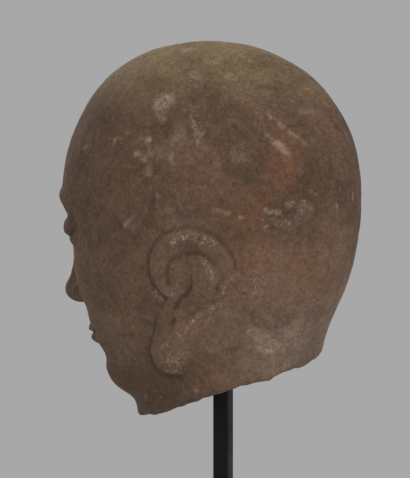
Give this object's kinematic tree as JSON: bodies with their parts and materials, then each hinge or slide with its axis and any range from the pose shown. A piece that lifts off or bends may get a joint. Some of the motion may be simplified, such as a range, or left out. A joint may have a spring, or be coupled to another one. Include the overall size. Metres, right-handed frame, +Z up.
{
  "type": "arhat head",
  "caption": "Life-size bald head of an arhat in weathered sandstone, broken off at the neck, carried by a square steel bar on a flat foot plate.",
  "frame": {"origin": "the point of the foot plate's underside that lies under the middle of the bar", "axes": "+Z up along the bar, -Y the way the face looks, +X towards the head's own left ear"},
  "size_m": [0.1884, 0.237, 0.3968],
  "materials": {
    "sandstone": "matte",
    "black_steel": "satin"
  },
  "bodies": {
    "root": {"stone_head": "sandstone", "stand_bar": "black_steel", "stand_base": "black_steel"}
  },
  "joints": []
}
